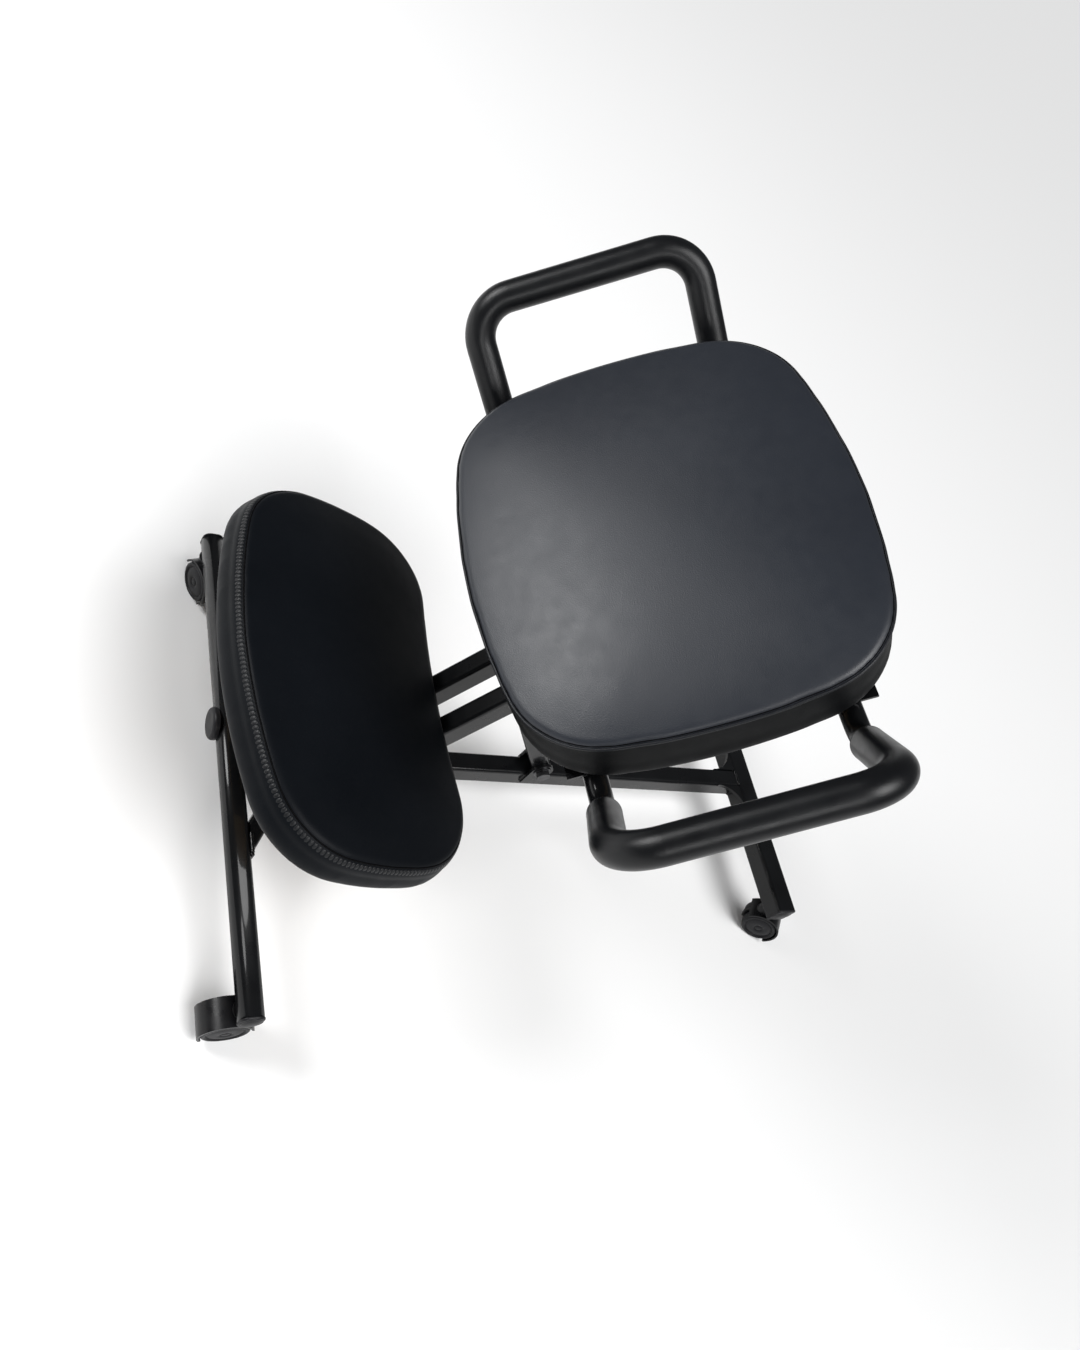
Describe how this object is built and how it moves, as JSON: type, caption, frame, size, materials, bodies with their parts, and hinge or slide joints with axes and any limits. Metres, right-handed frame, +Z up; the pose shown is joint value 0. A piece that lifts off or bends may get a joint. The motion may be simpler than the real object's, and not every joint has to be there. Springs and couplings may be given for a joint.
{
  "type": "kneeling chair",
  "caption": "Kneeling chair with steeply tilted padded seat, kidney-shaped knee pad, side loop handles with foam grips, H-shaped tube base on hooded swivel casters and a recline strut.",
  "frame": {"origin": "on the floor under the middle of the chair's bounding box", "axes": "+X to the sitter's left, +Y to the rear (the knee pad faces -Y), +Z up"},
  "size_m": [0.619, 0.8504, 0.6609],
  "materials": {
    "powder_coat": "gloss black powder coat",
    "seat_cover": "satin slate-black leatherette, a grained coated fabric, over foam",
    "knee_cover": "satin black leatherette, a grained coated fabric, over foam",
    "plywood": "plain plywood",
    "grip_foam": "matte closed-cell foam",
    "cap_plastic": "satin moulded plastic",
    "caster_plastic": "satin-gloss moulded nylon",
    "wheel_plastic": "satin moulded nylon",
    "spacer_plastic": "plain nylon",
    "fastener_steel": "blackened steel"
  },
  "bodies": {
    "base": {"front_crossbar": "powder_coat", "rear_crossbar": "powder_coat", "crossbar_end_caps": "cap_plastic", "caster_sockets": "fastener_steel", "spine_tube": "powder_coat", "front_braces": "powder_coat", "rear_gussets": "powder_coat", "strut_ears": "powder_coat", "front_bumper": "cap_plastic", "main_pivot_bolt": "fastener_steel", "main_pivot_nut": "fastener_steel", "main_pivot_washers": "fastener_steel", "main_pivot_spacers": "spacer_plastic", "strut_bolt": "fastener_steel", "strut_nut": "fastener_steel", "strut_washers": "fastener_steel"},
    "frame": {"seat_cushion": "seat_cover", "seat_board": "plywood", "seat_tee_nuts": "fastener_steel", "seat_screws": "fastener_steel", "knee_cushion": "knee_cover", "knee_board": "plywood", "knee_tee_nuts": "fastener_steel", "knee_screws": "fastener_steel", "left_beam": "powder_coat", "right_beam": "powder_coat", "beam_caps": "cap_plastic", "beam_tie": "powder_coat", "seat_plate": "powder_coat", "seat_cheeks": "powder_coat", "knee_arms": "powder_coat", "knee_plate": "powder_coat", "left_handle_tube": "powder_coat", "right_handle_tube": "powder_coat", "left_grip": "grip_foam", "right_grip": "grip_foam", "handle_foot_plates": "powder_coat"},
    "strut": {"strut_tube": "powder_coat", "clamp_bolt": "fastener_steel", "clamp_washers": "fastener_steel", "strut_spacers": "spacer_plastic"},
    "knob": {"clamp_knob": "cap_plastic", "clamp_knob_insert": "fastener_steel"},
    "caster_front_left": {"caster_hood_front_left": "caster_plastic", "caster_stem_front_left": "fastener_steel"},
    "wheels_front_left": {"caster_wheels_front_left": "wheel_plastic", "caster_axle_front_left": "fastener_steel"},
    "caster_front_right": {"caster_hood_front_right": "caster_plastic", "caster_stem_front_right": "fastener_steel"},
    "wheels_front_right": {"caster_wheels_front_right": "wheel_plastic", "caster_axle_front_right": "fastener_steel"},
    "caster_rear_left": {"caster_hood_rear_left": "caster_plastic", "caster_stem_rear_left": "fastener_steel"},
    "wheels_rear_left": {"caster_wheels_rear_left": "wheel_plastic", "caster_axle_rear_left": "fastener_steel"},
    "caster_rear_right": {"caster_hood_rear_right": "caster_plastic", "caster_stem_rear_right": "fastener_steel"},
    "wheels_rear_right": {"caster_wheels_rear_right": "wheel_plastic", "caster_axle_rear_right": "fastener_steel"}
  },
  "joints": [
    {"name": "seat_recline", "type": "hinge", "parent": "base", "child": "frame", "pos_m": [0, -0.219, 0.0715], "axis": [-1, 0, 0], "range_deg": [0, 12]},
    {"name": "strut_swing", "type": "hinge", "parent": "base", "child": "strut", "pos_m": [0, 0.026, 0.1005], "axis": [-1, 0, 0], "range_deg": [0, 26]},
    {"name": "knob_turn", "type": "hinge", "parent": "strut", "child": "knob", "pos_m": [0, -0.1183, 0.28648], "axis": [1, 0, 0], "range_deg": [0, 360]},
    {"name": "swivel_front_left", "type": "hinge", "parent": "base", "child": "caster_front_left", "pos_m": [0.269, -0.3522, 0.0565], "axis": [0, 0, 1], "continuous": true},
    {"name": "roll_front_left", "type": "hinge", "parent": "caster_front_left", "child": "wheels_front_left", "pos_m": [0.269, -0.3622, 0.024], "axis": [-1, 0, 0], "continuous": true},
    {"name": "swivel_front_right", "type": "hinge", "parent": "base", "child": "caster_front_right", "pos_m": [-0.269, -0.3522, 0.0565], "axis": [0, 0, 1], "continuous": true},
    {"name": "roll_front_right", "type": "hinge", "parent": "caster_front_right", "child": "wheels_front_right", "pos_m": [-0.2596, -0.34878, 0.024], "axis": [0.342, -0.9397, 0], "continuous": true},
    {"name": "swivel_rear_left", "type": "hinge", "parent": "base", "child": "caster_rear_left", "pos_m": [0.181, 0.3858, 0.0565], "axis": [0, 0, 1], "continuous": true},
    {"name": "roll_rear_left", "type": "hinge", "parent": "caster_rear_left", "child": "wheels_rear_left", "pos_m": [0.18688, 0.39389, 0.024], "axis": [0.809, -0.5878, 0], "continuous": true},
    {"name": "swivel_rear_right", "type": "hinge", "parent": "base", "child": "caster_rear_right", "pos_m": [-0.181, 0.3858, 0.0565], "axis": [0, 0, 1], "continuous": true},
    {"name": "roll_rear_right", "type": "hinge", "parent": "caster_rear_right", "child": "wheels_rear_right", "pos_m": [-0.18688, 0.39389, 0.024], "axis": [0.809, 0.5878, 0], "continuous": true}
  ],
  "couplings": [
    {"joint": "strut_swing", "follows": "seat_recline", "ratio": 2.1508}
  ]
}
